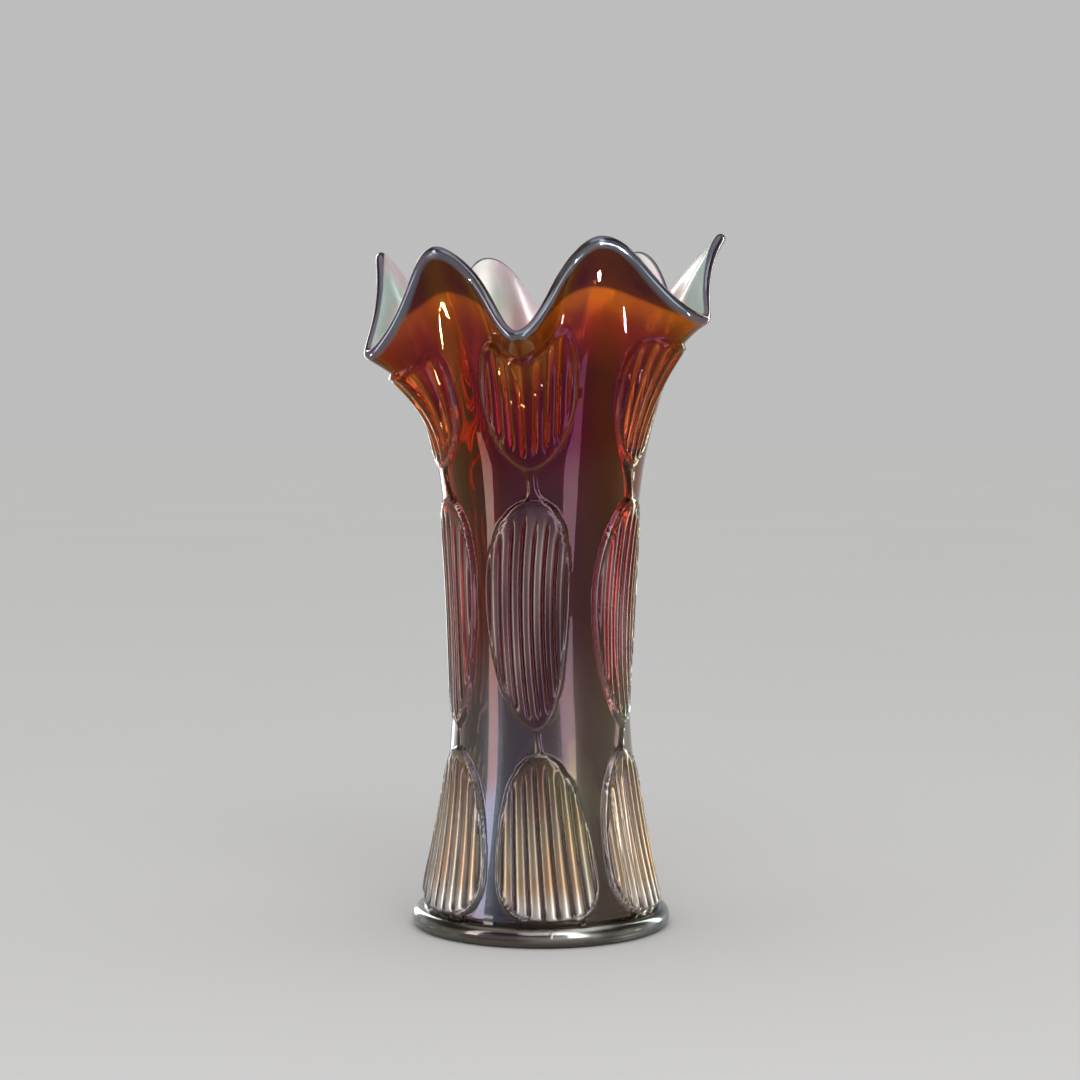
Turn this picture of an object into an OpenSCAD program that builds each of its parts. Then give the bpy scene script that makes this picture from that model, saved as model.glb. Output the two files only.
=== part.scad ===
// Pressed-glass vase with a crimped flare and three tiers of ribbed ovals.
// Millimetres, +Z up. The origin is the middle of the foot's underside, and the front faces -Y.
// Turns are angles round the axis, from the front towards +X.

/* [Foot] */
// Diameter of the foot ring across its widest line
foot_d = 100; // [84:1:120]
// Height of the rounded foot ring
foot_h = 7.7; // [5:0.1:8]
// How far the foot ring stands out past the column wall
ledge_w = 4; // [4:0.1:7]
// Width of the foot ring, from its widest line in to the glass floor
ring_w = 15; // [12:0.5:20]
// Depth of the recess under the glass floor
recess_h = 1.6; // [0.5:0.1:3]
// Width of a mould seam across the foot ring
seam_w = 0.9; // [0.4:0.1:2]
// How far a mould seam stands out of the foot ring
seam_rise = 0.3; // [0.1:0.05:0.6]

/* [Column] */
// Outer diameter of the column at its waist
waist_d = 68; // [60:1:76]
// Outer diameter of the column where the flare begins
shoulder_d = 79; // [70:1:90]
// Thickness of the column wall
wall_t = 4.5; // [3:0.1:7]

/* [Flare and lip] */
// Height of the flare, from the shoulder to its tallest tip
flare_h = 88; // [70:1:110]
// Reach of the lip's furthest valley from the axis
mouth_r = 72; // [62:1:85]
// Thickness of the glass at the lip
lip_t = 3.8; // [2.5:0.1:5]
// Length over which the flare keeps the slope of the column
root_l = 22; // [10:1:30]
// Length over which a valley of the lip rolls outwards
valley_roll_l = 18; // [10:1:24]
// Length over which a peak of the lip rolls outwards
peak_roll_l = 25; // [12:1:30]
// Slope of the glass at a valley of the lip, above level
valley_slope = 28; // [15:1:50]
// Slope of the glass at a peak of the lip, above level
peak_slope = 58; // [50:1:80]

/* [Ovals] */
// Length of a lower oval
lower_l = 63; // [50:1:75]
// Length of the ridge between a lower oval and the middle oval above it
tie_l = 8.5; // [5:0.5:16]
// Length of a middle oval
middle_l = 87; // [70:1:100]
// Length of the ridge between a middle oval and the upper oval above it
neck_l = 10; // [4:0.5:12]
// Width of plain glass between two lower ovals
lower_gap_w = 4.6; // [3:0.1:12]
// Width of plain glass between two middle ovals
middle_gap_w = 4.2; // [3:0.1:12]
// Width of plain glass between two upper ovals
upper_gap_w = 10.5; // [4:0.1:16]
// Number of raised ribs on each oval
rib_count = 7; // [5:1:9]
// How far the ribs stand out of the wall
rib_rise = 1.9; // [1:0.1:3]
// How far the smooth border of an oval stands out of the wall
border_rise = 1.5; // [0.8:0.1:2.5]
// Thickness of the border at its outer edge
edge_rise = 0.6; // [0.4:0.1:1]
// Height of the bottom of a groove above the wall
groove_rise = 0.7; // [0.4:0.1:1]
// Width of a tie ridge
tie_w = 2.4; // [1.5:0.1:4]
// How far a tie ridge stands out of the wall
tie_rise = 0.9; // [0.5:0.1:1.5]
// Seat clearance under the ovals and the ridges
seat_t = 0.15; // [0.1:0.05:0.3]
// Clearance between the end of an oval and what it meets
end_gap = 0.3; // [0.2:0.05:0.5]

/* [Hidden] */

foot_r = foot_d / 2;
floor_r = foot_r - ring_w;
round_r = foot_h / 2;
base_r = foot_r - ledge_w;
waist_r = waist_d / 2;
shoulder_r = shoulder_d / 2;
column_h = end_gap + lower_l + tie_l + middle_l + neck_l;
shoulder_z = foot_h + column_h;
waist_share = 0.545;
waist_z = foot_h + column_h * waist_share;

// The lip in turn order, a valley and then a peak, six times.
lip_turns = [-64.5, -35.5, -8, 21, 59.5, 81, 117, 141, 171, 201.5, 225.5, 265];
lip_reach_shares = [0.99, 0.935, 0.91, 0.875, 0.985, 0.98, 0.81, 0.875, 0.99, 0.84, 0.81, 0.88];
lip_height_shares = [0.495, 0.925, 0.57, 0.967, 0.643, 1.005, 0.74, 0.962, 0.6, 0.938, 0.51, 0.935];
// How far the lip is drawn in between each of its points and the next.
lip_pinch_shares = [0.06, 0.09, 0.09, 0.055, 0.055, 0.055, 0, 0, 0.045, 0, 0.07, 0.06];

// Places of the six ovals of each tier, and the width of each as a share of a full one.
lower_turns = [-58, 2, 62, 122, 182, 242];
middle_turns = [-69, -9, 57, 115, 172, 231];
upper_turns = [-67, -6, 56, 117, 175, 234];
lower_width_shares = [1, 1, 1, 1, 1, 1];
middle_width_shares = [0.94, 1, 0.88, 1, 1, 1];
upper_width_shares = [1, 1, 0.72, 1, 1, 1];
// How far each tier leans and bends round the axis along its ovals.
lower_lean = -6.3;
middle_lean = -1;
middle_bend = 5.5;
// Where an oval is widest, and how full its two ends are.
lower_widest_share = 0.34;
middle_widest_share = 0.585;
upper_widest_share = 0.44;
full_end = 2.6;
blunt_end = 2.3;
round_end = 2.1;
egg_end = 1.9;
pointed_end = 1.7;
// How much the ribs of the lower ovals spread towards the foot.
lower_fan = 0.05;
// Where the upper ovals begin and end on the flare.
upper_from_share = 0.01;
upper_to_share = 0.79;

// Rows of points along an oval, and how deep the grooves are at each of them.
row_shares = [0, 0.035, 0.08, 0.16, 0.5, 0.84, 0.92, 0.965, 1];
depth_shares = [0, 0, 0, 1, 1, 1, 0, 0, 0];
border_share = 0.95;
ribs_share = 0.88;
side_share = 0.995;

column_steps = 28;
ring_steps = 96;
flare_steps = 14;
bead_steps = 6;
tie_steps = 4;
smooth = 96;

// The outer surface of the glass

pitch = 360 / len(lower_turns);

function unit(p) = p / norm(p);
function blend(a, b, w) = a + (b - a) * w;
function lift(w) = (1 - cos(180 * w)) / 2;

function column_r(z) = z < waist_z
    ? waist_r + (base_r - waist_r) * pow((waist_z - z) / (waist_z - foot_h), 2)
    : waist_r + (shoulder_r - waist_r) * pow((z - waist_z) / (shoulder_z - waist_z), 2);

// Which stretch of the lip a turn lies on, and how far along it.
function stretch_of(turn, i = 0) =
    i + 1 >= len(lip_turns) || turn < lip_turns[i + 1] ? i : stretch_of(turn, i + 1);
function from_start(turn) = lip_turns[0] + ((turn - lip_turns[0]) % 360 + 360) % 360;

// [reach, height, how much of a valley] of the lip at a turn.
function lip_at(turn) =
    let (t = from_start(turn), n = len(lip_turns), i = stretch_of(t), k = (i + 1) % n)
    let (to = lip_turns[k] + (k == 0 ? 360 : 0))
    let (w = lift((t - lip_turns[i]) / (to - lip_turns[i])))
    let (reach = blend(lip_reach_shares[i], lip_reach_shares[k], w))
    let (pinch = lip_pinch_shares[i] * 4 * w * (1 - w))
    [
        mouth_r * (reach - pinch),
        shoulder_z + flare_h * blend(lip_height_shares[i], lip_height_shares[k], w) - lip_t / 2,
        i % 2 == 0 ? 1 - w : w
    ];

// The flare is a curve from the shoulder to the lip: it starts along the column and ends along the roll.
shoulder_lean = 2 * (shoulder_r - waist_r) / (shoulder_z - waist_z);
function flare_at(turn, v) =
    let (lip = lip_at(turn))
    let (slope = blend(peak_slope, valley_slope, lip[2]))
    let (roll = blend(peak_roll_l, valley_roll_l, lip[2]))
    let (a = [shoulder_r, shoulder_z])
    let (b = a + root_l * [shoulder_lean, 1])
    let (d = [lip[0], lip[1]])
    let (c = d - roll * [cos(slope), sin(slope)])
    let (w = 1 - v)
    a * pow(w, 3) + b * 3 * v * pow(w, 2) + c * 3 * pow(v, 2) * w + d * pow(v, 3);

function place(turn, r, z) = [r * sin(turn), -r * cos(turn), z];

// A point of the skin: s runs from 0 at the foot to 1 at the shoulder and 2 at the lip.
function skin(turn, s) =
    let (z = foot_h + column_h * s)
    let (f = flare_at(turn, s - 1))
    s <= 1 ? place(turn, column_r(z), z) : place(turn, f[0], f[1]);

turn_step = 0.5;
s_step = 0.002;
function across(turn, s) = skin(turn + turn_step, s) - skin(turn - turn_step, s);
function along(turn, s) = skin(turn, s + s_step) - skin(turn, s - s_step);
function outward(turn, s) = unit(cross(across(turn, s), along(turn, s)));

// The wall's thickness is level at the shoulder and square to the glass further up.
square_share = 0.25;
function wall_way(turn, v) =
    unit(blend(place(turn, 1, 0), outward(turn, 1 + v), min(1, v / square_share)));
function wall_at(v) = blend(wall_t, lip_t, v);

// Faces

function quad(a, b, c, d) = [[a, b, c], [a, c, d]];
function flat_list(lists) = [for (l = lists) for (x = l) x];

module solid_of(points, faces) {
    polyhedron(points = points, faces = faces, convexity = 10);
}

// Foot

module foot_section(extra) {
    translate([foot_r - round_r, round_r]) circle(r = round_r + extra, $fn = smooth);
}

module foot_ring() {
    color("#3a3634")
        rotate_extrude($fn = smooth)
            union() {
                foot_section(0);
                translate([floor_r, 0]) square([foot_r - round_r - floor_r, foot_h]);
            }
}

module base_floor() {
    color("#4a413c")
        translate([0, 0, recess_h])
            cylinder(r = floor_r, h = foot_h - recess_h, $fn = smooth);
}

seam_turns = [4, 124, 244];
module mould_seams() {
    seam_angle = seam_w / foot_r * 180 / PI;
    color("#77706a")
        for (turn = seam_turns)
            rotate([0, 0, turn - 90 - seam_angle / 2])
                rotate_extrude(angle = seam_angle, $fn = smooth)
                    intersection() {
                        difference() {
                            foot_section(seam_rise);
                            foot_section(0);
                        }
                        translate([foot_r - round_r, 0]) square([2 * round_r, foot_h]);
                    }
}

// Column and flare

module column_wall() {
    zs = [for (i = [0:column_steps]) foot_h + column_h * i / column_steps];
    outer = [for (z = zs) [column_r(z), z]];
    inner = [for (i = [column_steps:-1:0]) [column_r(zs[i]) - wall_t, zs[i]]];
    color("#6b4a44")
        rotate_extrude($fn = smooth) polygon(concat(outer, inner));
}

function ring_turn(i) = 360 * i / ring_steps;
function skin_ring(v) = [for (i = [0:ring_steps - 1]) skin(ring_turn(i), 1 + v)];
function bore_ring(v) = [
    for (i = [0:ring_steps - 1])
        skin(ring_turn(i), 1 + v) - wall_at(v) * wall_way(ring_turn(i), v)
];
// The rings of points are joined up in order, and the last one back to the first. That last strip
// is split along its other diagonal, so that the lip's underside is the same as the wall's top edge.
function tube_faces(rings, size) = flat_list([
    for (j = [0:rings - 1], i = [0:size - 1])
        let (k = (i + 1) % size, a = j * size, b = ((j + 1) % rings) * size)
        j < rings - 1 ? quad(a + i, b + i, b + k, a + k) : quad(b + i, b + k, a + k, a + i)
]);

module flared_wall() {
    up = [for (j = [0:flare_steps]) skin_ring(j / flare_steps)];
    down = [for (j = [flare_steps:-1:0]) bore_ring(j / flare_steps)];
    points = flat_list(concat(up, down));
    color("#a8401c")
        solid_of(points, tube_faces(2 * (flare_steps + 1), ring_steps));
}

function bead_ring(bow) = [
    for (i = [0:ring_steps - 1])
        let (t = ring_turn(i), n = wall_way(t, 1), crest = unit(cross(n, across(t, 2))))
        skin(t, 2) + lip_t / 2 * ((cos(bow) - 1) * n + sin(bow) * crest)
];

module lip_bead() {
    points = flat_list([for (k = [0:bead_steps]) bead_ring(180 * k / bead_steps)]);
    color("#8f9aa3")
        solid_of(points, tube_faces(bead_steps + 1, ring_steps));
}

// Ovals

// An oval is a list: [turn, lean, bend, half width in degrees, from s, to s, widest, low end, high end, fan]
function oval_half(r, gap) = (pitch - gap / r * 180 / PI) / 2;
function s_at(z) = (z - foot_h) / column_h;

lower_from = foot_h + end_gap;
lower_to = lower_from + lower_l;
middle_from = lower_to + tie_l;
middle_to = middle_from + middle_l;
lower_half = oval_half(column_r(blend(lower_from, lower_to, lower_widest_share)), lower_gap_w);
middle_half = oval_half(column_r(blend(middle_from, middle_to, middle_widest_share)), middle_gap_w);
upper_half = oval_half(flare_at(0, blend(upper_from_share, upper_to_share, upper_widest_share))[0],
    upper_gap_w);

lower_set = [
    for (i = [0:len(lower_turns) - 1])
        [lower_turns[i], lower_lean, 0, lower_half * lower_width_shares[i], s_at(lower_from),
            s_at(lower_to), lower_widest_share, full_end, round_end, lower_fan]
];
middle_set = [
    for (i = [0:len(middle_turns) - 1])
        [middle_turns[i], middle_lean, middle_bend, middle_half * middle_width_shares[i],
            s_at(middle_from), s_at(middle_to), middle_widest_share, egg_end, round_end, 0]
];
upper_set = [
    for (i = [0:len(upper_turns) - 1])
        [upper_turns[i], 0, 0, upper_half * upper_width_shares[i], 1 + upper_from_share,
            1 + upper_to_share, upper_widest_share, pointed_end, blunt_end, 0]
];

function oval_turn(o, t) = o[0] + o[1] * (t - 0.5) + o[2] * pow(2 * t - 1, 2);
// Where a line of the oval, a share of the half width from its middle, begins and ends.
function cut(x, full) = pow(1 - pow(abs(x), full), 1 / full);
function line_from(o, x) = o[6] * (1 - cut(x, o[7]));
function line_to(o, x) = o[6] + (1 - o[6]) * cut(x, o[8]);
function oval_point(o, x, row, rise) =
    let (t = blend(line_from(o, x), line_to(o, x), row))
    let (turn = oval_turn(o, t) + x * o[3] * (1 - o[9] * (t - o[6])))
    let (s = blend(o[4], o[5], t))
    skin(turn, s) + (rise + seat_t) * outward(turn, s);

// Lines across an oval: the edge, the border, a groove and two crowns for each rib, the border, the edge.
line_count = 3 * rib_count + 5;
rib_lines = 3 * rib_count;
function line_x(j) =
    j == 0 ? -side_share :
    j == 1 ? -border_share :
    j == line_count - 2 ? border_share :
    j == line_count - 1 ? side_share :
    ribs_share * (2 * (j - 2) / rib_lines - 1);
function is_groove(j) = (j - 2) % 3 == 0;
last_row = len(row_shares) - 1;
function rise_at(j, k) =
    j == 0 || j == line_count - 1 || k == 0 || k == last_row ? edge_rise :
    j == 1 || j == line_count - 2 || k == 1 || k == last_row - 1 ? border_rise :
    is_groove(j) ? blend(rib_rise, groove_rise, depth_shares[k]) : rib_rise;

// The back of an oval is plainer: it keeps the two edges and the grooves, and every second row.
back_lines = [0, for (i = [0:rib_count]) 2 + 3 * i, line_count - 1];
back_rows = [for (k = [0:2:last_row]) k];

module oval(o) {
    rows = last_row + 1;
    back_size = len(back_rows);
    back_at = line_count * rows;
    last_back = len(back_lines) - 1;
    front = [
        for (j = [0:line_count - 1], k = [0:last_row])
            oval_point(o, line_x(j), row_shares[k], rise_at(j, k))
    ];
    back = [for (j = back_lines, k = back_rows) oval_point(o, line_x(j), row_shares[k], 0)];
    front_faces = [
        for (j = [0:line_count - 2], k = [0:last_row - 1])
            let (a = j * rows + k, b = a + rows)
            quad(a, a + 1, b + 1, b)
    ];
    back_faces = [
        for (j = [0:last_back - 1], k = [0:back_size - 2])
            let (a = back_at + j * back_size + k, b = a + back_size)
            quad(a, b, b + 1, a + 1)
    ];
    // The rim closes the front to the back, first along the two ends of the lines and then at the sides.
    end_faces = [
        for (end = [0, 1], i = [0:last_back - 1])
            let (k = end * last_row, c = back_at + i * back_size + end * (back_size - 1))
            let (from = back_lines[i], to = back_lines[i + 1], d = c + back_size)
            [
                for (j = [from:to - 1])
                    turned([c, j * rows + k, (j + 1) * rows + k], end),
                turned([c, to * rows + k, d], end)
            ]
    ];
    side_faces = [
        for (side = [0, 1], m = [0:back_size - 2])
            let (a = side * (line_count - 1) * rows + 2 * m, c = back_at + side * last_back * back_size + m)
            [
                turned([a + 1, a, c], side),
                turned([a + 2, a + 1, c + 1], side),
                turned([a + 1, c, c + 1], side)
            ]
    ];
    faces = flat_list(concat(front_faces, back_faces, end_faces, side_faces));
    solid_of(concat(front, back), faces);
}
function turned(face, other) = other == 0 ? face : [face[2], face[1], face[0]];

module lower_ovals() {
    color("#8d7c6d") for (o = lower_set) oval(o);
}

module middle_ovals() {
    color("#7d4f4c") for (o = middle_set) oval(o);
}

module upper_ovals() {
    color("#c4531c") for (o = upper_set) oval(o);
}

// Tie ridges

// The section of a ridge, from one foot over the crown to the other: [across, up] as shares.
ridge_shares = [[-1, 0], [-0.85, 0.55], [-0.4, 0.93], [0.4, 0.93], [0.85, 0.55], [1, 0]];
module ridge(from_turn, to_turn, from_s, to_s) {
    size = len(ridge_shares);
    points = [
        for (k = [0:tie_steps], p = ridge_shares)
            let (t = k / tie_steps, turn = blend(from_turn, to_turn, t), s = blend(from_s, to_s, t))
            let (side = unit(across(turn, s)), out = outward(turn, s))
            skin(turn, s) + p[0] * tie_w / 2 * side + (seat_t + p[1] * tie_rise) * out
    ];
    walls = [
        for (k = [0:tie_steps - 1], i = [0:size - 1])
            let (a = k * size, b = a + size, n = (i + 1) % size)
            quad(a + i, b + i, b + n, a + n)
    ];
    low_end = [[for (i = [0:size - 1]) i]];
    high_end = [[for (i = [size - 1:-1:0]) tie_steps * size + i]];
    solid_of(points, concat(flat_list(walls), low_end, high_end));
}

module tie_ridges() {
    gap_s = end_gap / column_h;
    color("#5c4a45")
        for (i = [0:len(lower_set) - 1]) {
            ridge(oval_turn(lower_set[i], 1), oval_turn(middle_set[i], 0),
                s_at(lower_to) + gap_s, s_at(middle_from) - gap_s);
            ridge(oval_turn(middle_set[i], 1), oval_turn(upper_set[i], 0),
                s_at(middle_to) + gap_s, 1 - gap_s);
        }
}

foot_ring();
base_floor();
column_wall();
flared_wall();
lip_bead();
lower_ovals();
middle_ovals();
upper_ovals();
tie_ridges();
mould_seams();
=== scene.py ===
# %% [markdown] # A carnival glass vase The real vase is one piece of pressed glass. A hot gather was
# pressed in a mould that left three tiers of ribbed ovals on it, the top was swung out into a flare, the
# lip was crimped into six waves, and a metal mist was sprayed on while the glass was hot, which gives it
# its rainbow sheen. This lesson builds it as two pieces: the wall with its relief, and the foot. Every
# size of them is in millimetres until the last step of a piece, and the vase stands on z = 0 with its
# front towards -Y.

import math

import bmesh
import bpy
import numpy as np
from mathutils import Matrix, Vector


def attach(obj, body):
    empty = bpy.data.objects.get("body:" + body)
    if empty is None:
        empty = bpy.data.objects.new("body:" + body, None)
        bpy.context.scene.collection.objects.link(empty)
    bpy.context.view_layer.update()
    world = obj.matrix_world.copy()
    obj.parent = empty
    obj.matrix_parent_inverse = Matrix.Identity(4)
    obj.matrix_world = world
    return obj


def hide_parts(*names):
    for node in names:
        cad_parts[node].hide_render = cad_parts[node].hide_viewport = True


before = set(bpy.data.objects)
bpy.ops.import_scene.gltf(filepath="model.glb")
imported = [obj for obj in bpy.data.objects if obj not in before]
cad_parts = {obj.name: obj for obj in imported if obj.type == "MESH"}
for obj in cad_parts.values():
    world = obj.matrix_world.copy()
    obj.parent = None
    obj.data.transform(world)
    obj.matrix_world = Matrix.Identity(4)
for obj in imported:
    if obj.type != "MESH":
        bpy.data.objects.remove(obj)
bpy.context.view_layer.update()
MM = 0.001
print("CAD nodes:", ", ".join(sorted(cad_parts)))

# %% [markdown]
# ## The camera
# The photograph was taken with a long lens from a little above the vase's middle. The height and the
# distance below come from how round the foot looks and from how the lip's near and far waves overlap.
# A camera is set by its place, by how far it tips down, and by its lens: nothing else is needed.

# %% Camera
eye_side, eye_distance, eye_height, aim_height = -0.4, 989, 210, 149
camera_data = bpy.data.cameras.new("camera")
camera_data.sensor_width = 36
camera_data.lens = 85.6
camera = bpy.data.objects.new("camera", camera_data)
bpy.context.scene.collection.objects.link(camera)
camera.location = (eye_side * MM, -eye_distance * MM, eye_height * MM)
camera.rotation_euler = (math.radians(90) - math.atan2(eye_height - aim_height, eye_distance), 0, 0)
camera_data.clip_start, camera_data.clip_end = 0.05, 50
bpy.context.scene.camera = camera
print("Camera, mm:", [round(x / MM, 1) for x in camera.location])

# %% [markdown]
# ## The shape of the glass, as formulas
# The wall is a surface that two numbers reach: `turn`, the angle round the axis from the front, and `s`,
# which runs from 0 at the foot to 1 at the shoulder and 2 at the lip. The column is two parabolas that
# meet at the waist. These are the same sizes and formulas as the CAD part's, written for whole arrays of
# points at once, so that the detailed wall lies on the plain one.

# %% Column
foot_r, foot_h, base_r, floor_r, recess = 50, 7.7, 46, 35, 1.6
waist_r, shoulder_r, wall_t, lip_t = 34, 39.5, 4.5, 3.8
column_h, waist_share = 168.8, 0.545
shoulder_z = foot_h + column_h
waist_z = foot_h + column_h * waist_share


def column_r(z):
    """Outer radius of the column at a height."""
    low = waist_r + (base_r - waist_r) * ((waist_z - z) / (waist_z - foot_h)) ** 2
    high = waist_r + (shoulder_r - waist_r) * ((z - waist_z) / (shoulder_z - waist_z)) ** 2
    return np.where(z < waist_z, low, high)


print("Waist at", round(waist_z, 1), "mm, shoulder at", round(shoulder_z, 1), "mm")

# %% [markdown]
# ## The ruffled lip
# The lip is listed in turn order, a valley and then a peak, six times, because the crimper bent it by
# hand and no two waves are alike. Between two of them a cosine joins reach and height smoothly, and a
# pinch draws the lip in halfway. The flare is then a Bezier curve that leaves the shoulder along the
# column and ends along the rolled lip.

# %% Lip and flare
flare_h, mouth_r = 88, 72
root_l, valley_roll, peak_roll, valley_slope, peak_slope = 22, 18, 25, 28, 58
lip_turns = np.array([-64.5, -35.5, -8, 21, 59.5, 81, 117, 141, 171, 201.5, 225.5, 265])
lip_reach = mouth_r * np.array([0.99, 0.935, 0.91, 0.875, 0.985, 0.98,
                                0.81, 0.875, 0.99, 0.84, 0.81, 0.88])
lip_rise = flare_h * np.array([0.495, 0.925, 0.57, 0.967, 0.643, 1.005,
                               0.74, 0.962, 0.6, 0.938, 0.51, 0.935])
lip_pinch = mouth_r * np.array([0.06, 0.09, 0.09, 0.055, 0.055, 0.055,
                                0, 0, 0.045, 0, 0.07, 0.06])


def lip_at(turn):
    """Reach, height and share of a valley of the lip at each turn."""
    t = lip_turns[0] + (turn - lip_turns[0]) % 360
    ends = np.append(lip_turns, lip_turns[0] + 360)
    i = np.clip(np.searchsorted(ends, t, side="right") - 1, 0, len(lip_turns) - 1)
    k = (i + 1) % len(lip_turns)
    w = (1 - np.cos(np.pi * (t - ends[i]) / (ends[i + 1] - ends[i]))) / 2
    reach = lip_reach[i] + (lip_reach[k] - lip_reach[i]) * w - lip_pinch[i] * 4 * w * (1 - w)
    height = shoulder_z + lip_rise[i] + (lip_rise[k] - lip_rise[i]) * w - lip_t / 2
    return reach, height, np.where(i % 2 == 0, 1 - w, w)


def flare_at(turn, v):
    """Radius and height of the flare: v is 0 at the shoulder and 1 at the lip."""
    reach, height, valley = lip_at(turn)
    slope = np.radians(peak_slope + (valley_slope - peak_slope) * valley)
    roll = peak_roll + (valley_roll - peak_roll) * valley
    lean = 2 * (shoulder_r - waist_r) / (shoulder_z - waist_z)
    radii = (shoulder_r, shoulder_r + root_l * lean, reach - roll * np.cos(slope), reach)
    heights = (shoulder_z, shoulder_z + root_l, height - roll * np.sin(slope), height)
    shares = ((1 - v) ** 3, 3 * v * (1 - v) ** 2, 3 * v**2 * (1 - v), v**3)
    return sum(a * b for a, b in zip(shares, radii)), sum(a * b for a, b in zip(shares, heights))


def place(turn, r, z):
    """Points from turns in degrees, radii and heights."""
    u = np.radians(turn)
    return np.stack([r * np.sin(u), -r * np.cos(u), z + 0 * r], axis=-1)


def skin(turn, s):
    """The outside of the plain wall."""
    z = foot_h + column_h * s
    r, h = flare_at(turn, np.clip(s - 1, 0, 2))
    return place(turn, np.where(s <= 1, column_r(z), r), np.where(s <= 1, z, h))


def unit(p):
    """The same directions, each one long."""
    return p / np.maximum(np.linalg.norm(p, axis=-1, keepdims=True), 1e-9)


def across(turn, s):
    """The way round the vase, a degree long."""
    return skin(turn + 0.5, s) - skin(turn - 0.5, s)


def outward(turn, s):
    """The way out of the glass, square to it."""
    return unit(np.cross(across(turn, s), skin(turn, s + 0.002) - skin(turn, s - 0.002)))


tip = lip_at(np.arange(0, 360.0))
print("Lip reaches", round(float(tip[0].max()), 1), "mm and stands", round(float(tip[1].max()), 1), "mm high")

# %% [markdown]
# ## The three tiers of ovals
# Each oval is an egg outline that leans or bends a little with the twist that the hot glass kept. Its
# place along its own length is `t`, and its place across is `x`, from -1 at one side to 1 at the other.
# `low` and `high` say how full its two ends are, `fan` how much it spreads towards the foot, and `caps`
# how many millimetres of it are smooth at each end. A real mould repeats six times, so only the places
# and widths that differ are listed.

# %% Ovals
ovals_round = 6


def tier(turns, widths, lean, bend, gap_w, start, stop, widest, low, high, fan, caps):
    """One tier of six ovals, between two places s on the skin."""
    at_widest = start + (stop - start) * widest
    if at_widest <= 1:
        r = float(column_r(np.array(foot_h + column_h * at_widest)))
    else:
        r = float(flare_at(np.array(0.0), at_widest - 1)[0])
    half = (360 / ovals_round - math.degrees(gap_w / r)) / 2 * np.array(widths)
    path = skin(np.full(40, turns[1] * 1.0), np.linspace(start, stop, 40))
    length = float(np.linalg.norm(np.diff(path, axis=0), axis=1).sum())
    return dict(turns=np.array(turns) * 1.0, half=half, lean=lean, bend=bend, start=start, stop=stop,
                widest=widest, low=low, high=high, fan=fan, length=length, caps=caps)


def s_at(z):
    """The place s that lies at a height in the column."""
    return (z - foot_h) / column_h


lower = tier(turns=[-58, 2, 62, 122, 182, 242], widths=[1] * 6, lean=-6.3, bend=0, gap_w=4.6,
             start=s_at(8), stop=s_at(71), widest=0.34, low=2.6, high=2.1, fan=0.05, caps=(2.2, 6.5))
middle = tier(turns=[-69, -9, 57, 115, 172, 231], widths=[0.94, 1, 0.88, 1, 1, 1], lean=-1, bend=5.5,
              gap_w=4.2, start=s_at(79.5), stop=s_at(166.5), widest=0.585, low=1.9, high=2.1, fan=0,
              caps=(4.5, 9))
upper = tier(turns=[-67, -6, 56, 117, 175, 234], widths=[1, 1, 0.72, 1, 1, 1], lean=0, bend=0,
             gap_w=10.5, start=1.01, stop=1.79, widest=0.44, low=1.7, high=2.3, fan=0, caps=(5, 3))
tiers = (lower, middle, upper)
print("Ovals, mm:", [(round(o["length"], 1), o["half"].round(1).tolist()) for o in tiers])

# %% [markdown]
# ## Lines round the vase
# A spun tube has the same number of points in every ring. If they are evenly spaced, a rib that leans
# cuts across them and its edge turns into a saw. So each line of the tube is given a share of an oval:
# six steps across each rib, closest at the grooves, five on the border at each side, and the rest in
# the gap to the next oval. The lines then lean and spread with the ovals, and every groove lies on one.
# Above the ovals they even out, from `even_from` to `even_to`.

# %% Lines across an oval
rib_count, ribs_half = 7, 0.88
rib_steps = np.array([0, 0.1, 0.27, 0.5, 0.73, 0.9])
rib_shares = np.append((np.arange(rib_count)[:, None] + rib_steps).ravel(), rib_count) / rib_count
rib_lines = ribs_half * (2 * rib_shares - 1)
border_lines = np.array([0.903, 0.928, 0.953, 0.978, 1.0])
gap_shares = np.array([0.05, 0.16, 0.32, 0.5, 0.68, 0.84, 0.95])
line_x = np.concatenate([-border_lines[::-1], rib_lines, border_lines, gap_shares])
per_oval, middle_line = len(line_x), len(border_lines) + len(rib_lines) // 2
line_count = ovals_round * per_oval
in_gap = np.arange(per_oval) >= per_oval - len(gap_shares)
even_from, even_to = 1.81, 1.95


def oval_middle(o, k, t):
    """The turn of the middle of oval k of the tier o, at t."""
    return o["turns"][k] + o["lean"] * (t - 0.5) + o["bend"] * (2 * t - 1) ** 2


def oval_half(o, k, t):
    """Half the width of that oval, in degrees."""
    return o["half"][k] * (1 - o["fan"] * (t - o["widest"]))


def tier_turn(o, line, s):
    """Where line number `line` stands at s, if this tier's ovals lead it."""
    k, j = line // per_oval, line % per_oval
    t = np.clip((s - o["start"]) / (o["stop"] - o["start"]), 0, 1)
    x = line_x[j]
    here = oval_middle(o, k, t)
    nxt = (k + 1) % ovals_round
    a = here + oval_half(o, k, t)
    b = oval_middle(o, nxt, t) + 360 * (k == ovals_round - 1) - oval_half(o, nxt, t)
    return np.where(in_gap[j], a + (b - a) * x, here + x * oval_half(o, k, t))


def ease(a, b, x):
    """0 below a, 1 above b, and a smooth rise between them."""
    w = np.clip((x - a) / (b - a), 0, 1)
    return w * w * (3 - 2 * w)


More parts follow.
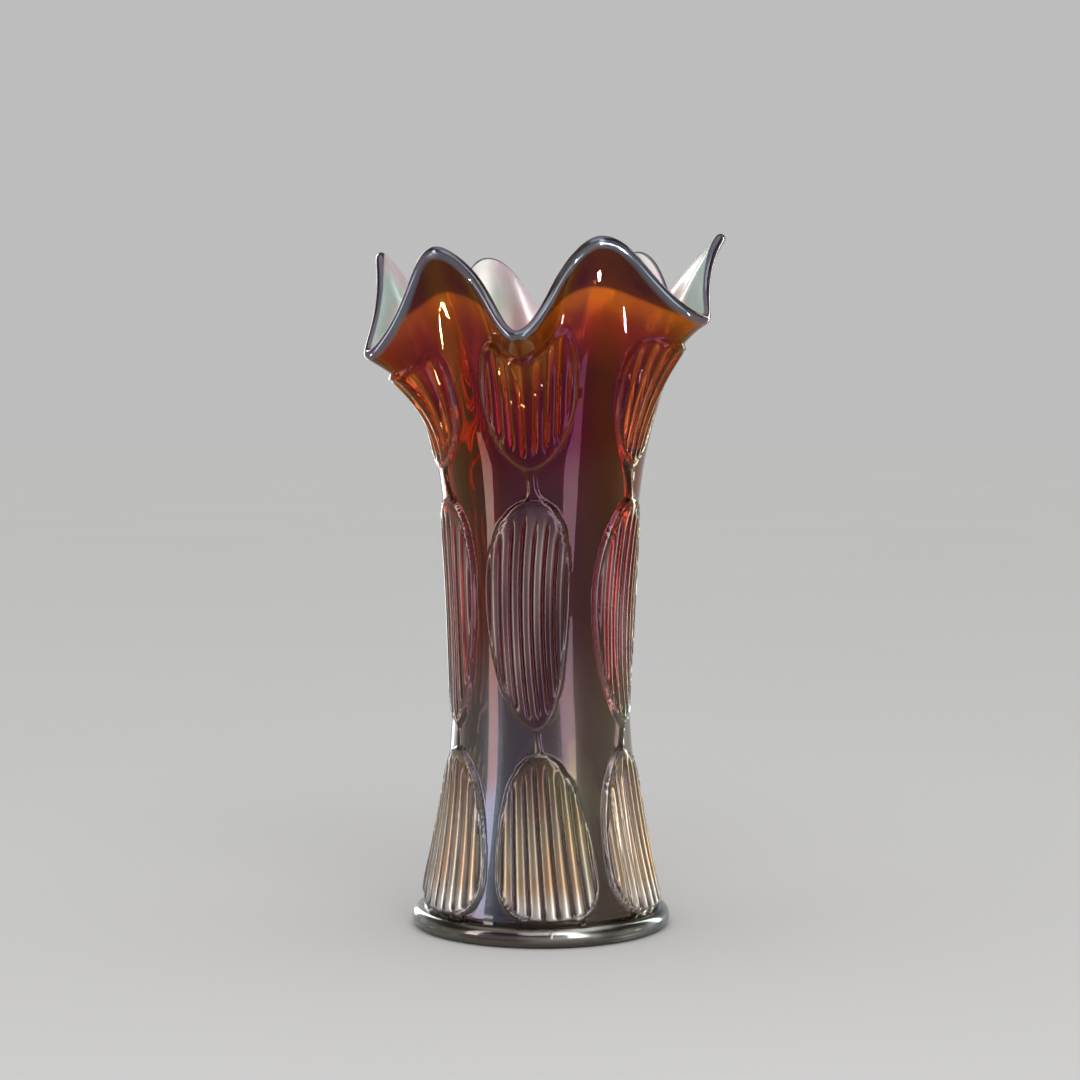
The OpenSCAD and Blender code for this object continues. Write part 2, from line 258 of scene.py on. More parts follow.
def line_turn(line, s):
    """Where each line stands at s: the tiers hand it over between them, and the lip has them even."""
    up = ease(lower["stop"], middle["start"], s)
    top = ease(middle["stop"], upper["start"], s)
    low_mid = tier_turn(lower, line, s) * (1 - up) + tier_turn(middle, line, s) * up
    led = low_mid * (1 - top) + tier_turn(upper, line, s) * top
    even = upper["turns"][0] + (line - middle_line) * 360 / line_count
    lip = ease(even_from, even_to, s)
    return led * (1 - lip) + even * lip


print("Lines round the vase:", line_count)

# %% [markdown]
# ## Relief of an oval
# How far a point stands off the wall depends on how deep it lies inside the outline. The edge comes up
# in a rounded step with a small crest, a thin smooth border runs round, and inside it seven ribs stand
# with sharp grooves between them. The grooves stop short of the border at both ends, where the ribs run
# together in a smooth cap. All of it is one height, so the relief is one skin with no seams. What is
# called `_at`, `_from` or `_to` below is a depth inside the outline.

# %% Relief
rib_rise, border_rise, groove_rise = 2.05, 1.6, 0.35
step_from, step_to = -0.25, 0.6
crest_at, crest_w, crest_rise = 0.7, 0.4, 0.38
dip_at, dip_w, dip_fall = 1.8, 0.45, 0.2
ribs_from, ribs_to = 1.2, 2.4
dome_to, dome_rise = 8, 0.35


def depth_inside(o, x, t, half_mm):
    """About how many millimetres inside the outline a point lies; negative outside."""
    low = t < o["widest"]
    power = np.where(low, o["low"], o["high"])
    share = np.where(low, o["widest"], 1 - o["widest"])
    q = np.abs(t - o["widest"]) / share
    ax = np.abs(x)
    rho = np.maximum((ax**power + q**power) ** (1 / power), 1e-3)
    gx = (ax / rho) ** (power - 1) / half_mm
    gt = (q / rho) ** (power - 1) / (share * o["length"])
    return (1 - rho) / np.maximum(np.hypot(gx, gt), 1e-3)


def line_ends(o, x):
    """Where the line x enters and leaves the outline, as places t."""
    ax = np.minimum(np.abs(x), 1)
    start = o["widest"] * (1 - (1 - ax ** o["low"]) ** (1 / o["low"]))
    stop = o["widest"] + (1 - o["widest"]) * (1 - ax ** o["high"]) ** (1 / o["high"])
    return start, stop


def oval_relief(o, k, x, t, half_mm):
    """Height of the relief, how much of a groove each point is, its depth, and the crest of the rim."""
    deep = depth_inside(o, x, t, half_mm)
    edge = border_rise * ease(step_from, step_to, deep)
    crest = np.exp(-(((deep - crest_at) / crest_w) ** 2))
    rim = crest_rise * crest - dip_fall * np.exp(-(((deep - dip_at) / dip_w) ** 2))
    phase = (x / ribs_half + 1) / 2 * rib_count
    crown = (1 - np.abs(2 * (phase % 1) - 1) ** 2.2) ** 0.6
    crown = np.where(np.abs(x) > ribs_half, 1, crown)
    groove_no = np.round(phase)
    stagger = np.sin(groove_no * 2.4 + k * 1.7 + 5 * o["widest"])
    start, stop = line_ends(o, x)
    above = (t - start) * o["length"]
    below = (stop - t) * o["length"]
    inner = 1 - np.clip(np.abs(x), 0, 1) ** 2
    low_cap, high_cap = o["caps"]
    cut = ease(low_cap * 0.55, low_cap * (1.5 + 0.3 * stagger), above)
    cut = cut * ease(high_cap * 0.35, high_cap * (0.7 + 0.75 * inner + 0.3 * stagger), below)
    groove = (1 - crown) * cut
    dome = dome_rise * ease(0, dome_to, deep)
    ribs = rib_rise + dome - (rib_rise - groove_rise) * groove
    inside = ease(ribs_from, ribs_to, deep)
    height = (edge + rim) * (1 - inside) + ribs * inside
    return np.where(deep < step_from, 0, height), groove * inside, deep, crest


print("Ribs stand", rib_rise, "mm off the wall, and grooves between them", groove_rise, "mm")

# %% [markdown]
# ## Ridges between the tiers
# A thin ridge ties each oval to the one above it. It is the place where two outlines of the mould run
# into each other, so it widens into both ovals, and its height is joined to theirs with no step.

# %% Tie ridges


def ridge_relief(turn, s, low, high, width, rise, splay):
    """Height of the ridges from each oval of the tier `low` to the one above it."""
    a, b = low["stop"], high["start"]
    w = np.clip((s - a) / (b - a), 0, 1)
    height = np.zeros_like(turn)
    r = np.linalg.norm(skin(turn, s)[..., :2], axis=-1)
    for k in range(ovals_round):
        t = oval_middle(low, k, 1.0) * (1 - w) + oval_middle(high, k, 0.0) * w
        off = (turn - t + 180) % 360 - 180
        mm = np.abs(np.radians(off) * r)
        wide = width / 2 * (1 + splay * (2 * np.abs(w - 0.5)) ** 3)
        height = np.maximum(height, rise * (1 - ease(0.25, 1.0, mm / wide)))
    near = ease(a - 0.02, a, s) * (1 - ease(b, b + 0.02, s))
    return height * near


ridge_lengths = [round((high["start"] - low["stop"]) * column_h, 1) for low, high in zip(tiers, tiers[1:])]
print("Ridges from tier to tier, mm long:", ridge_lengths)

# %% [markdown]
# ## Rows up the vase
# The rows lie closest where the relief turns quickly: at the ends of the ovals and at the ridges. In
# between, where only straight ribs run, they can be far apart. The profile then goes over the rounded
# lip, down the smooth bore that the mould's plunger left, and closes under the wall: its last rows,
# `well_s`, follow the rounded bottom of the bore. Each zone says from where to where it goes and how far
# apart its rows are, in millimetres up the column and in shares of the flare.

# %% Rows of the profile
coarse_step = 2.3
fine_zones = [(8, 21, 0.62), (54, 72, 0.75), (72, 79, 1.2), (79, 100, 0.75), (147, 177, 0.8)]
flare_zones = [(0, 0.2, 0.012), (0.2, 0.56, 0.021), (0.56, 0.81, 0.0105), (0.81, 1, 0.016)]


def row_places():
    """Places s of the outer rows, from the foot to the lip."""
    z, rows = foot_h, []
    while z < shoulder_z - 0.4:
        rows.append(s_at(z))
        z += next((step for a, b, step in fine_zones if a <= z < b), coarse_step)
    rows.append(1.0)
    for a, b, step in flare_zones:
        count = round((b - a) / step)
        rows += [1 + a + (b - a) * (i + 1) / count for i in range(count)]
    return np.array(rows)


outer_s = row_places()
bead_bows = np.linspace(0, 180, 10)[1:-1]
well_s = s_at(np.array([11.5, 9.6, 8.3, 7.75]))
inner_s = np.concatenate([np.linspace(2, 1, 20), np.linspace(1, s_at(14), 16)[1:], well_s])
print("Rows: outside", len(outer_s), "lip", len(bead_bows), "inside", len(inner_s))

# %% [markdown]
# ## A sheet of glass, rolled up
# The wall starts as a flat grid: one way counts the lines round the vase, the other counts the rows of
# its profile. Every point of the grid then knows its line and its row from where it lies, which is all
# that the formulas need to put it in place. A spin of the profile would give the same tube, but 360
# steps of it take a quarter of a minute, and the grid is there at once.

# %% Grid
rows_out, rows_bead = len(outer_s), len(bead_bows)
row_count = rows_out + rows_bead + len(inner_s)
bm = bmesh.new()
bmesh.ops.create_grid(bm, x_segments=line_count, y_segments=row_count, size=1)
wall_mesh = bpy.data.meshes.new("vase_wall")
bm.to_mesh(wall_mesh)
bm.free()


def points_of(mesh):
    """All points of a mesh, as rows of x, y and z."""
    flat = np.zeros(len(mesh.vertices) * 3, np.float32)
    mesh.vertices.foreach_get("co", flat)
    return flat.reshape(-1, 3).astype(float)


on_grid = (points_of(wall_mesh) + 1) / 2
lines = np.round(on_grid[:, 0] * line_count).astype(int) % line_count
rows = np.round(on_grid[:, 1] * row_count).astype(int) % row_count
print("Wall:", len(wall_mesh.vertices), "points in", line_count, "lines and", row_count, "rows")

# %% [markdown]
# ## Shaping the outside
# Now each point goes to its place. The outer rows take the skin plus the relief of the three tiers and
# the ridges. A faint waviness, left by the swinging and the fire, makes reflections wander as they do on
# pressed glass.

# %% Relief of the tiers


def tier_relief(line, turn, s):
    """Relief of all three tiers, with shares that the finish of the glass reads later."""
    k, j = line // per_oval, line % per_oval
    x = np.where(in_gap[j], 1 + np.minimum(line_x[j], 1 - line_x[j]) * 0.3, line_x[j])
    r = np.linalg.norm(skin(turn, s)[..., :2], axis=-1)
    height, groove, clear, rim = (np.zeros_like(s) for _ in range(4))
    for o in tiers:
        t = (s - o["start"]) / (o["stop"] - o["start"])
        nearer = np.where(in_gap[j] & (line_x[j] > 0.5), (k + 1) % ovals_round, k)
        half_mm = np.radians(oval_half(o, nearer, np.clip(t, 0, 1))) * r
        h, g, deep, crest = oval_relief(o, nearer, x, t, half_mm)
        h = np.where((t < -0.02) | (t > 1.02), 0, h)
        height = np.maximum(height, h)
        groove = np.maximum(groove, np.where(h > 0, g, 0))
        rim = np.maximum(rim, np.where(h > 0, crest, 0))
        if o is lower:
            clear = ease(0, 2.5, np.where(h > 0, deep, 0))
    return height, groove, clear, rim


def waviness(turn, s):
    """The faint unevenness of a surface that was swung and polished in the fire."""
    u = np.radians(turn)
    return (0.10 * np.sin(3 * u + 5 * s) * np.sin(7 * s + 1.3) + 0.06 * np.sin(8 * u - 9 * s + 0.7)
            + 0.05 * np.sin(13 * s + 2 * u + 2.1))


def soft_max(a, b, blend):
    """The larger of two heights, rounded where they meet."""
    h = np.clip(0.5 + (b - a) / (2 * blend), 0, 1)
    return a * (1 - h) + b * h + blend * h * (1 - h)


print("Waviness at the front of the waist, mm:", round(float(waviness(0, waist_share)), 3))

# %% Outer rows
tie_blend = 0.3
count = len(rows)
points = np.zeros((count, 3))
relief, groove_share, clear_share, rim_share = (np.zeros(count) for _ in range(4))
is_outer = rows < rows_out
s_out = outer_s[rows[is_outer]]
turn_out = line_turn(lines[is_outer], s_out)
height, groove, clear, rim = tier_relief(lines[is_outer], turn_out, s_out)
ties = np.maximum(ridge_relief(turn_out, s_out, lower, middle, width=2.2, rise=1.2, splay=0.5),
                  ridge_relief(turn_out, s_out, middle, upper, width=4.4, rise=1.0, splay=1.4))
joined = soft_max(height, ties, tie_blend) - tie_blend / 4 * (np.abs(height - ties) < 0.001)
height = np.where(ties > 0, joined, height)
wave = waviness(turn_out, s_out) * ease(0, 0.04, s_out) * (1 - ease(1.8, 2, s_out))
points[is_outer] = skin(turn_out, s_out) + (height + wave)[:, None] * outward(turn_out, s_out)
for kept, found in ((relief, height), (groove_share, groove), (clear_share, clear), (rim_share, rim)):
    kept[is_outer] = found
print("Relief stands up to", round(float(height.max()), 2), "mm off the wall")

# %% [markdown]
# ## The lip and the bore
# The polished lip is a half circle from the outside to the inside. The bore follows the outside at the
# thickness of the glass, which thins towards the lip, and curves in at the bottom, where the plunger's
# nose was round.

# %% Lip and bore


def wall_way(turn, v):
    """The way through the wall: level at the shoulder and square to the glass further up."""
    w = ease(0, 0.25, v)[:, None]
    return unit(place(turn, np.ones_like(turn), 0 * turn) * (1 - w) + outward(turn, 1 + np.maximum(v, 0)) * w)


is_bead = (rows >= rows_out) & (rows < rows_out + rows_bead)
turn_bead = line_turn(lines[is_bead], np.full(is_bead.sum(), 2.0))
bow = np.radians(bead_bows[rows[is_bead] - rows_out])[:, None]
through = wall_way(turn_bead, np.ones_like(turn_bead))
over = unit(np.cross(through, across(turn_bead, np.full_like(turn_bead, 2.0))))
points[is_bead] = (skin(turn_bead, np.full_like(turn_bead, 2.0))
                   + lip_t / 2 * ((np.cos(bow) - 1) * through + np.sin(bow) * over))

is_inner = rows >= rows_out + rows_bead
s_in = inner_s[rows[is_inner] - rows_out - rows_bead]
turn_in = line_turn(lines[is_inner], s_in)
v_in = np.maximum(s_in - 1, 0)
thick = wall_t + (lip_t - wall_t) * ease(0, 1, v_in)
well_w, well_h = 4.5, 5
below = 1 - np.clip(column_h * s_in / well_h, 0, 1)
thick = thick + well_w * (1 - np.sqrt(np.clip(1 - below**2, 0, 1)))
ripple = 0.12 * np.sin(6 * np.radians(turn_in) + 0.4) * ease(0, 0.1, s_in) * (1 - ease(1.6, 2, s_in))
points[is_inner] = skin(turn_in, s_in) - (thick + ripple)[:, None] * wall_way(turn_in, v_in)
at_waist = points[is_inner][np.abs(s_in - waist_share).argmin()]
print("Bore at the waist:", round(float(np.hypot(*at_waist[:2])), 1), "mm from the axis")

# %% [markdown]
# ## What the finish will need to know
# The colour of the glass follows the vase, not the room: amber in the flare, smoke near the foot, clear
# in the thick lower ovals, steel blue on the lip. Painted light and shade also follow these places: shade
# on the crowns and light in the grooves of the flare, shade in the grooves of the lower ovals, a glow
# towards the foot. The mist lies on the crowns of the ribs and on the rims of the ovals, and it stayed
# out of the grooves. Those places are kept on the mesh as attributes, which the materials read and which
# stay with the mesh when it is exported.

# %% Attributes


def keep(name, values):
    """A value for every point of the wall, under a name that a material can ask for."""
    wall_mesh.attributes.new(name, "FLOAT", "POINT").data.foreach_set("value", values.astype(np.float32))


along = np.zeros(count)
along[is_outer], along[is_bead], along[is_inner] = s_out, 2, s_in
keep("along", along)
keep("groove", groove_share)
keep("clear", clear_share)
keep("rim", rim_share)
keep("raised", relief / (rib_rise + dome_rise))
keep("lip", np.where(is_bead, 1, ease(1.975, 1.99, along)))
keep("lining", is_inner * 1.0)
wall_mesh.vertices.foreach_set("co", (points * MM).astype(np.float32).ravel())
print("Kept on the wall:", ", ".join(a.name for a in wall_mesh.attributes if a.data_type == "FLOAT"))

# %% [markdown]
# ## Welding the sheet
# The first and the last line of the grid now lie on each other, and so do its first and last row.
# Merging the points that share a place closes the sheet into one watertight wall. Only then are the
# faces turned to point out of the glass.

# %% Weld
bm = bmesh.new()
bm.from_mesh(wall_mesh)
bmesh.ops.remove_doubles(bm, verts=bm.verts, dist=0.002 * MM)
bmesh.ops.recalc_face_normals(bm, faces=bm.faces)
open_edges = sum(1 for e in bm.edges if not e.is_manifold)
bm.to_mesh(wall_mesh)
bm.free()
wall_mesh.polygons.foreach_set("use_smooth", [True] * len(wall_mesh.polygons))
wall_mesh.update()
print("Wall:", 2 * len(wall_mesh.polygons), "triangles,", open_edges, "open edges")
wall = bpy.data.objects.new("vase_wall", wall_mesh)
bpy.context.scene.collection.objects.link(wall)
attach(wall, "root")
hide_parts("column_wall", "flared_wall", "lip_bead", "lower_ovals", "middle_ovals", "upper_ovals",
            "tie_ridges")
print("Wall box, mm:", points.min(0).round(1), points.max(0).round(1))

# %% [markdown]
# ## The foot
# The foot is a rounded ring with a glass floor that is let in a little underneath, so that the vase
# stands on the ring alone. Its profile is half of a cut through it, and a full spin of that profile
# gives the solid, which is how a turner would see it too.

# %% Foot profile and spin
round_r, edge_r, floor_edge = foot_h / 2, 0.7, 0.5
centre_r = foot_r - round_r
foot_steps = 240


def spun_solid(name, profile, steps):
    """A solid of revolution from a profile that starts and ends on the axis."""
    bm = bmesh.new()
    path = [bm.verts.new((0, -r, z)) for r, z in profile]
    edges = [bm.edges.new(pair) for pair in zip(path, path[1:])]
    bmesh.ops.spin(bm, geom=path + edges, cent=(0, 0, 0), axis=(0, 0, 1), dvec=(0, 0, 0),
                   angle=math.tau, steps=steps, use_merge=True, use_duplicate=False)
    bmesh.ops.remove_doubles(bm, verts=bm.verts, dist=0.001)
    bmesh.ops.recalc_face_normals(bm, faces=bm.faces)
    mesh = bpy.data.meshes.new(name)
    bm.to_mesh(mesh)
    bm.free()
    return mesh


profile = [(r, foot_h) for r in (0, 20, 41, 45.9)]
profile += [(centre_r + round_r * math.sin(a), round_r + round_r * math.cos(a))
            for a in np.linspace(0, math.pi, 17)[1:]]
profile += [(floor_r + 5, 0)]
profile += [(floor_r + edge_r - edge_r * math.sin(a), edge_r - edge_r * math.cos(a))
            for a in np.linspace(0, math.pi / 2, 5)]
profile += [(floor_r, recess - floor_edge), (floor_r - floor_edge, recess), (20, recess), (0, recess)]
foot_mesh = spun_solid("vase_foot", profile, foot_steps)
print("Foot:", len(foot_mesh.vertices), "points")

# %% [markdown]
# ## Seams and wear of the foot
# Three fine seams cross the ring where the mould's parts met. The spin gave it even steps, so its lines
# are drawn together at the seams, where the surface has to turn quickly. The seams follow the round of
# the ring, and a slight unevenness stands for years of wear.

# %% Seams on the foot
seam_turns, seam_rise, seam_half = (4, 124, 244), 0.3, 0.6
step_turn = 360 / foot_steps
flat = points_of(foot_mesh)
around = np.degrees(np.arctan2(flat[:, 0], -flat[:, 1])) % 360
foot_lines = np.round(around / step_turn).astype(int) % foot_steps
foot_turns = np.arange(foot_steps) * step_turn
seam_offsets = np.array([-1.3, -0.75, -0.42, 0, 0.42, 0.75, 1.3])
for seam in seam_turns:
    nearest = round(seam / step_turn)
    for i, off in zip(range(nearest - 3, nearest + 4), seam_offsets):
        foot_turns[i % foot_steps] = seam + off
radius, z = np.hypot(flat[:, 0], flat[:, 1]), flat[:, 2]
turn = foot_turns[foot_lines]
bulge = np.zeros(len(turn))
for seam in seam_turns:
    off = np.abs((turn - seam + 180) % 360 - 180)
    bulge = np.maximum(bulge, seam_rise * np.clip(1 - off / seam_half, 0, 1))
bulge = bulge * ease(46, 47.5, radius)
way_r, way_z = radius - centre_r, z - round_r
far = np.maximum(np.hypot(way_r, way_z), 1e-6)
on_round = radius > centre_r - 0.1
radius = np.where(on_round, radius + bulge * way_r / far, radius)
z = np.where(on_round, np.clip(z + bulge * way_z / far, 0, foot_h), z)
worn = 0.06 * np.sin(np.radians(turn) * 5 + 1) + 0.05 * np.sin(np.radians(turn) * 11)
radius = radius + worn * ease(46.5, 49, radius)
placed = place(turn, radius, z)
foot_mesh.vertices.foreach_set("co", (placed * MM).astype(np.float32).ravel())
foot_mesh.polygons.foreach_set("use_smooth", [True] * len(foot_mesh.polygons))
foot_mesh.update()
foot = bpy.data.objects.new("vase_foot", foot_mesh)
bpy.context.scene.collection.objects.link(foot)
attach(foot, "root")
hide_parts("foot_ring", "base_floor", "mould_seams")
print("Foot box, mm:", placed.min(0).round(2), placed.max(0).round(2))

# %% [markdown]
# ## Shader maths as expressions
# A material is a small network of nodes, and wiring it by hand hides the idea. Here a wrapped socket
# takes part in Python expressions: adding or multiplying two of them adds the Math nodes.

# %% Wires


class Wire:
    """A socket that can be added, multiplied and mixed."""

    def __init__(self, network, socket):
        self.network, self.socket = network, socket

    def maths(self, operation, a, b):
        node = self.network.add("ShaderNodeMath", dict(operation=operation), {0: a, 1: b})
        return Wire(self.network, node.outputs[0])

    def __add__(self, other):
        return self.maths("ADD", self, other)

    def __sub__(self, other):
        return self.maths("SUBTRACT", self, other)

    def __rsub__(self, other):
        return self.maths("SUBTRACT", other, self)

    def __mul__(self, other):
        return self.maths("MULTIPLY", self, other)

    def __pow__(self, other):
        return self.maths("POWER", self, other)

    __radd__, __rmul__ = __add__, __mul__

    def larger(self, other):
        return self.maths("MAXIMUM", self, other)

    def between(self, low, high):
        """0 where this is at low, 1 where it is at high, smooth between."""
        node = self.network.add("ShaderNodeMapRange", dict(interpolation_type="SMOOTHSTEP"),
                                {0: self, 1: low, 2: high, 3: 0.0, 4: 1.0})
        return Wire(self.network, node.outputs[0])


print("A wire can:", ", ".join(name.strip("_") for name, what in vars(Wire).items() if callable(what)))

# %% [markdown]
# ## Networks and glazes
# Every other node comes from one method, which takes its kind, its settings and what goes into its
# sockets. The light of the room is a network of the same sort, so the method is shared. A glaze is a
# network that ends in a material. It mixes colours with Mix nodes, because a Math node would turn them
# grey.

# %% Networks and glazes


class Network:
    """The nodes of a material or of the room's light."""

    def __init__(self, owner):
        owner.use_nodes = True
        self.tree = owner.node_tree
        self.tree.nodes.clear()

    def add(self, kind, settings, sockets):
        """A node: its settings first, then the values or links of its sockets."""
        node = self.tree.nodes.new(kind)
        for key, value in settings.items():
            setattr(node, key, value)
        for key, value in sockets.items():
            self.feed(node.inputs[key], value)
        return node

    def feed(self, socket, value):
        if isinstance(value, Wire):
            self.tree.links.new(value.socket, socket)
        elif isinstance(value, bpy.types.NodeSocket):
            self.tree.links.new(value, socket)
        else:
            socket.default_value = value


class Glaze(Network):
    """A material under construction."""

    def __init__(self, name):
        self.material = bpy.data.materials.new(name)
        super().__init__(self.material)

    def attribute(self, name):
        node = self.add("ShaderNodeAttribute", dict(attribute_name=name), {})
        return Wire(self, node.outputs["Fac"])

    def axis(self, letter):
        """How far along one axis of the piece a point lies, in metres."""
        where = self.add("ShaderNodeTexCoord", {}, {}).outputs["Object"]
        return Wire(self, self.add("ShaderNodeSeparateXYZ", {}, {0: where}).outputs[letter])

    def spot(self, scale, stretch=(1, 1, 1), detail=2.0, shift=(0, 0, 0)):
        """Soft noise over the piece, in metres, about 0.5 on average."""
        where = self.add("ShaderNodeTexCoord", {}, {}).outputs["Object"]
        moved = self.add("ShaderNodeMapping", {}, {"Vector": where, "Location": shift, "Scale": stretch})
        node = self.add("ShaderNodeTexNoise", {},
                        {"Vector": moved.outputs[0], "Scale": scale, "Detail": detail})
        return Wire(self, node.outputs[0])

    def mix(self, share, a, b):
        """Colour a where share is 0 and b where it is 1."""
        node = self.add("ShaderNodeMix", dict(data_type="RGBA"), {"Factor": share, 6: a, 7: b})
        return Wire(self, node.outputs[2])

    def glass(self, colour, roughness, normal, path, film_ior, polish=0.0):
        """Glass under a film: the light's path in it, in nanometres, sets the hue that it reflects."""
        node = self.add("ShaderNodeBsdfPrincipled", {}, {
            "Base Color": colour, "Roughness": roughness, "IOR": 1.5, "Transmission Weight": 1.0,
            "Normal": normal, "Thin Film Thickness": path / film_ior, "Thin Film IOR": film_ior,
            "Coat Weight": polish, "Coat Roughness": 0.02})
        return Wire(self, node.outputs[0])

    def satin(self, colour, roughness, path, film_ior, metal=1.0):
        """A thick, soft layer of the metal mist, which reflects like satin."""
        node = self.add("ShaderNodeBsdfPrincipled", {}, {
            "Base Color": colour, "Metallic": metal, "Roughness": roughness,
            "Thin Film Thickness": path / film_ior, "Thin Film IOR": film_ior})
        return Wire(self, node.outputs[0])

    def blend(self, share, a, b):
        """Shader a where share is 0 and b where it is 1."""
        node = self.add("ShaderNodeMixShader", {}, {0: share, 1: a, 2: b})
        return Wire(self, node.outputs[0])

    def finish(self, shader):
        self.add("ShaderNodeOutputMaterial", {}, {"Surface": shader})
        return self.material


print("A glaze can:", ", ".join(name for name in vars(Glaze) if not name.startswith("_")))

# %% [markdown]
# ## Glass of the wall
# The glass's own colour follows the height: smoke near the foot, maroon in the column, deep amber in the
# flare. On each petal of the lip a painted glow, a lighter amber and then a bright orange arc that is
# brighter on the right, stands in for light seen through the far rim, and painted shade darkens the tip:
# `arch` is a height that also counts how near the lip is, and so it bends with the petals. In the flare
# the crowns of the ribs get painted shade and the grooves painted light, as bright orange lines. The
# middle ovals are a shade deeper, and the thick lower ones are nearly clear, lighter towards the foot as
# a painted glow of pooled light, with painted shade in their grooves. A ray takes the base colour's tint
# each time it goes through a face, so the colours are written for several passes.

# %% Colours of the wall
glaze = Glaze("iridescent_glass")
where = glaze.attribute("along")
groove_wire, clear_wire = glaze.attribute("groove"), glaze.attribute("clear")
rim_wire, lip_wire, lining_wire = glaze.attribute("rim"), glaze.attribute("lip"), glaze.attribute("lining")
raised_wire = glaze.attribute("raised")
crowns = raised_wire.between(0.6, 0.95) * (1 - groove_wire)
side = glaze.axis("X")
mottle = glaze.spot(22, (1, 1, 0.35), 3)
level = where + (mottle - 0.5) * 0.35
arch = glaze.axis("Z") * (1 / MM) + where * 55 + (mottle - 0.5) * 6
smoke, maroon, ember = (0.155, 0.14, 0.135, 1), (0.18, 0.015, 0.010, 1), (0.24, 0.011, 0.005, 1)
amber, arc_lit_amber, painted_arc_light = (0.20, 0.014, 0.002, 1), (0.25, 0.026, 0.002, 1), (0.90, 0.22, 0.006, 1)
painted_tip_shade, deep_red, rib_crown_shade = (0.045, 0.008, 0.003, 1), (0.11, 0.014, 0.008, 1), (0.15, 0.012, 0.006, 1)
painted_groove_light, painted_groove_shade, steel = (0.88, 0.27, 0.02, 1), (0.08, 0.065, 0.05, 1), (0.035, 0.042, 0.05, 1)
body = glaze.mix(level.between(0.30, 0.66), smoke, maroon)
body = glaze.mix(level.between(0.8, 1.1), body, ember)
body = glaze.mix(level.between(1.15, 1.45), body, amber)
deeper = raised_wire.between(0.3, 0.8) * level.between(0.42, 0.55) * level.between(1.1, 0.9)
body = glaze.mix(deeper * 0.65, body, deep_red)
# Painted light: on each petal a lighter amber band, then a bright orange arc that is brighter on the right,
# stands in for light seen through the far rim.
body = glaze.mix(arch.between(296, 330), body, arc_lit_amber)
arc_light_share = arch.between(316, 341) ** 2 * (0.28 + side.between(-0.01, 0.02) * 0.27)
body = glaze.mix(arc_light_share, body, painted_arc_light)
# Painted shade: the tip of each petal is darkened as if a dark surround showed through it.
body = glaze.mix(arch.between(341, 344), body, painted_tip_shade)
# Painted shade on the crowns of the flare's ribs, and painted light in its grooves as bright orange lines.
body = glaze.mix(crowns * level.between(0.9, 1.2) * 0.85, body, rib_crown_shade)
body = glaze.mix(groove_wire.between(0.05, 0.5) * level.between(0.9, 1.2), body, painted_groove_light)
# The lower ovals' nearly clear tint is the glass's own; its lighter colour towards the foot is a painted glow
# of light pooled in the thick glass.
thick = glaze.mix(where.between(0.36, 0.16), (0.28, 0.19, 0.13, 1), (0.50, 0.40, 0.29, 1))
body = glaze.mix(clear_wire * 0.9, body, thick)
# Painted shade in the grooves of the lower ovals.
body = glaze.mix(clear_wire * groove_wire.between(0.5, 0.95), body, painted_groove_shade)
body = glaze.mix(lip_wire, body, steel)
print("Colours of the wall:", len(glaze.tree.nodes), "nodes")

# %% [markdown]
# ## Films of the wall
# Carnival glass wears a film of metal a few hundred nanometres thin. The film shows a colour that
# depends on its thickness, so the outside is a blend of glasses whose only difference is their film,
# patch by patch, as the mist fell. Copper covers most of it and has a thin polish, which keeps the
# glints of the lamps white.

# %% Films of the wall
uneven = glaze.spot(60, (1, 1, 0.4), 2)
ripples = glaze.add("ShaderNodeBump", {}, {"Strength": 0.08, "Distance": 0.001, "Height": uneven})
normal = ripples.outputs[0]
haze = 0.01 + glaze.spot(140, (1, 1, 1), 2) * 0.02
copper = glaze.glass(body, haze, normal, path=398, film_ior=1.3, polish=0.12)
rose = glaze.glass(body, haze, normal, path=510, film_ior=1.55)
slate = glaze.glass(body, haze, normal, path=225, film_ior=1.3)
gold = glaze.glass(body, haze, normal, path=446, film_ior=1.75)
blue = glaze.glass(body, haze, normal, path=600, film_ior=1.65)
drift = glaze.spot(16, (1, 1, 0.5), 2, shift=(0.5, 0.2, 0.8))
patches = glaze.spot(30, (1, 1, 0.45), 2, shift=(0.3, 0.1, 0.2)) - side * 1.5
flecks = glaze.spot(38, (1, 1, 0.5), 2, shift=(0.7, 0.5, 0.1)) + side * 1.5
outside = glaze.blend((0.15 + drift.between(0.4, 0.6) * 0.45) * where.between(1.2, 0.9), copper, rose)
outside = glaze.blend((drift - side * 2).between(0.5, 0.65) * where.between(0.9, 0.4), outside, slate)
outside = glaze.blend(patches.between(0.56, 0.7) * where.between(0.7, 0.25) * 0.7, outside, blue)
outside = glaze.blend(flecks.between(0.58, 0.7) * where.between(0.9, 0.35) * 0.7, outside, gold)
print("Films of the wall:", len(glaze.tree.nodes), "nodes")

# %% [markdown]
# ## Mist on the ribs
# Where the mist fell thick it is a satin metal of its own: tan and silver on the crowns of the lower
# ribs, whiter and thicker towards the foot as a painted glow of light pooled in the thick glass, and
# pinkish grey on the middle ones, heavier on the left as a painted sheen. A smoother silver lies on the
# rims that draw each oval's outline, mist on the raised edges that is also a painted highlight line, and
# a thin dusky veil between the ovals, cooler at the left than at the right. The lip shows steel blue
# under a trace of silver.

